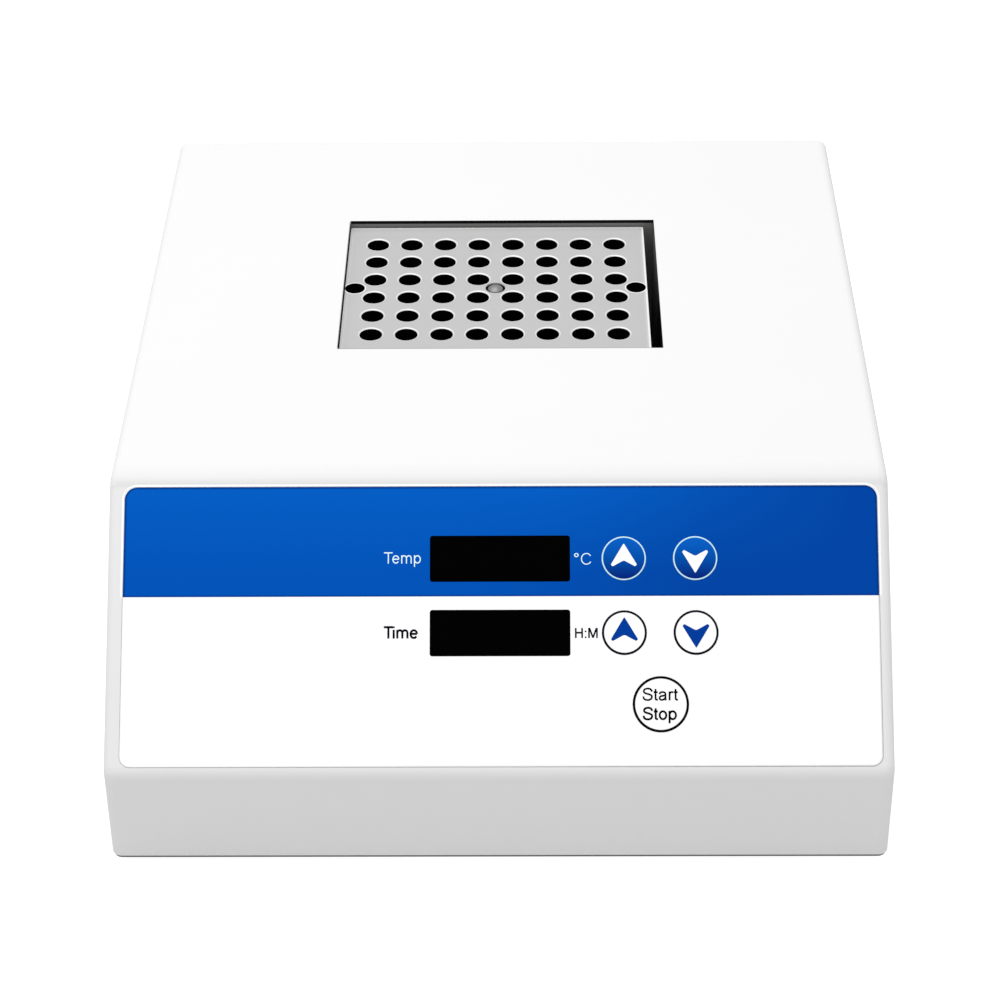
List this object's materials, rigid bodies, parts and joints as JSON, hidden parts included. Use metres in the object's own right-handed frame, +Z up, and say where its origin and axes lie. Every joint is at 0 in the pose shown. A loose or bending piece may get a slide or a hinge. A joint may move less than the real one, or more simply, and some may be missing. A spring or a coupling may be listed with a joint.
{
  "type": "dry bath incubator",
  "caption": "Bench dry bath: white moulded housing with a sloping control panel and a lift-out aluminium heating block with a grid of tube wells.",
  "frame": {"origin": "on the floor under the centre of the whole outline, at the feet", "axes": "+X to the user's right, +Y to the back, +Z up; the control panel faces -Y"},
  "size_m": [0.2606, 0.3138, 0.1126],
  "materials": {
    "white_moulding": "satin white moulding",
    "tray_steel": "grey painted sheet",
    "foot_rubber": "matt",
    "zinc_steel": "zinc plated",
    "panel_film": "printed film, blue above and white below",
    "smoked_window": "dark smoked lens",
    "blue_key": "printed blue key with a white ring",
    "white_key": "printed white key with a dark ring",
    "start_key": "printed white key with a black ring",
    "black_part": "moulded black",
    "circuit_board": "green board",
    "display_module": "dark face",
    "block_aluminium": "fine blasted and clear anodised",
    "bright_screw": "satin stainless",
    "grey_sleeve": "dull grey",
    "plate_aluminium": "milled",
    "silicone": "matt",
    "fibre": "fibre board",
    "cream_part": "moulded",
    "white_nylon": "moulded",
    "core_steel": "varnished laminations",
    "coil_copper": "taped winding",
    "pin_brass": "plated",
    "fuse_glass": "clear tube",
    "lead_dark": "sleeving",
    "lead_red": "sleeving",
    "lead_grey": "sleeving"
  },
  "bodies": {
    "housing": {"upper_housing": "white_moulding", "base_tray": "tray_steel", "foot_front_left": "foot_rubber", "foot_front_right": "foot_rubber", "foot_rear_left": "foot_rubber", "foot_rear_right": "foot_rubber", "base_screws": "zinc_steel", "panel_overlay": "panel_film", "temp_display_window": "smoked_window", "time_display_window": "smoked_window", "key_switches": "black_part", "display_board": "circuit_board", "display_board_screws": "zinc_steel", "temp_display_module": "display_module", "time_display_module": "display_module", "buzzer": "black_part", "well_sleeve": "grey_sleeve", "heater_plate": "plate_aluminium", "heater_mat": "silicone", "temp_sensor": "zinc_steel", "thermal_cutout": "cream_part", "insulation_jacket": "fibre", "heater_pan": "zinc_steel", "pan_spacers": "zinc_steel", "pan_screws": "zinc_steel", "control_board": "circuit_board", "board_components": "black_part", "board_spacers": "white_nylon", "board_screws": "zinc_steel", "transformer_core": "core_steel", "transformer_coil": "coil_copper", "transformer_screws": "zinc_steel", "heatsink": "plate_aluminium", "triac": "black_part", "power_inlet": "black_part", "inlet_pins": "pin_brass", "inlet_screws": "zinc_steel", "power_switch": "black_part", "mains_wires": "lead_dark", "heater_leads": "lead_red", "sensor_leads": "lead_grey", "ribbon_cable": "lead_grey"},
    "temp_up": {"temp_up_key": "blue_key", "temp_up_plunger": "black_part"},
    "temp_down": {"temp_down_key": "blue_key", "temp_down_plunger": "black_part"},
    "time_up": {"time_up_key": "white_key", "time_up_plunger": "black_part"},
    "time_down": {"time_down_key": "white_key", "time_down_plunger": "black_part"},
    "start_stop": {"start_stop_key": "start_key", "start_stop_plunger": "black_part"},
    "block": {"heating_block": "block_aluminium"},
    "clamp_screw": {"block_screw": "bright_screw"},
    "rocker": {"power_rocker": "black_part"},
    "drawer": {"fuse_drawer": "black_part", "fuses": "fuse_glass"}
  },
  "joints": [
    {"name": "temp_up_press", "type": "slide", "parent": "housing", "child": "temp_up", "axis": [0, 0.7071, -0.7071], "range_m": [0, 0.0004], "stiffness_N_per_m": 2000, "springref_m": -0.0005},
    {"name": "temp_down_press", "type": "slide", "parent": "housing", "child": "temp_down", "axis": [0, 0.7071, -0.7071], "range_m": [0, 0.0004], "stiffness_N_per_m": 2000, "springref_m": -0.0005},
    {"name": "time_up_press", "type": "slide", "parent": "housing", "child": "time_up", "axis": [0, 0.7071, -0.7071], "range_m": [0, 0.0004], "stiffness_N_per_m": 2000, "springref_m": -0.0005},
    {"name": "time_down_press", "type": "slide", "parent": "housing", "child": "time_down", "axis": [0, 0.7071, -0.7071], "range_m": [0, 0.0004], "stiffness_N_per_m": 2000, "springref_m": -0.0005},
    {"name": "start_stop_press", "type": "slide", "parent": "housing", "child": "start_stop", "axis": [0, 0.7071, -0.7071], "range_m": [0, 0.0004], "stiffness_N_per_m": 2000, "springref_m": -0.0005},
    {"name": "block_lift", "type": "slide", "parent": "housing", "child": "block", "axis": [0, 0, 1], "range_m": [0, 0.06]},
    {"name": "clamp_screw_turn", "type": "hinge", "parent": "block", "child": "clamp_screw", "pos_m": [-0.002, 0.03902, 0.1101], "axis": [0, 0, 1], "continuous": true},
    {"name": "power_rocker_tilt", "type": "hinge", "parent": "housing", "child": "rocker", "pos_m": [0.03635, 0.15307, 0.04645], "axis": [1, 0, 0], "range_deg": [0, 18]},
    {"name": "fuse_drawer_slide", "type": "slide", "parent": "housing", "child": "drawer", "axis": [0, 1, 0], "range_m": [0, 0.018]}
  ]
}
